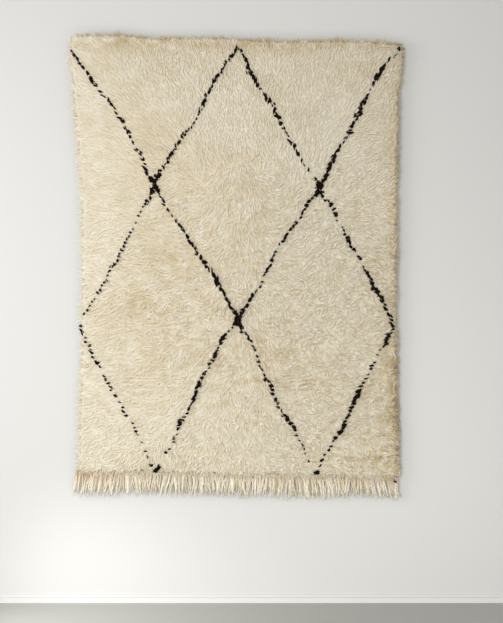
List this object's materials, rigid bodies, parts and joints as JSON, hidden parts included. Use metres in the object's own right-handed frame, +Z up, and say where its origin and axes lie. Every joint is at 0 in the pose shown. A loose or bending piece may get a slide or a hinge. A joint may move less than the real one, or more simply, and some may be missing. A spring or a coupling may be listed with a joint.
{
  "type": "beni ourain rug",
  "caption": "Hand-knotted cream wool pile rug with a dark lattice pattern, hanging flat, with a warp fringe along its lower edge.",
  "frame": {"origin": "middle of the top edge, on the woven back", "axes": "+X to the right of someone facing the pile, +Y out of the woven back, +Z up along the length"},
  "size_m": [1.5195, 0.034, 2.09],
  "materials": {
    "wool_pile": "matte long wool pile",
    "warp_yarn": "matte spun wool yarn"
  },
  "bodies": {
    "root": {"rug": "wool_pile", "fringe": "warp_yarn"}
  },
  "joints": []
}
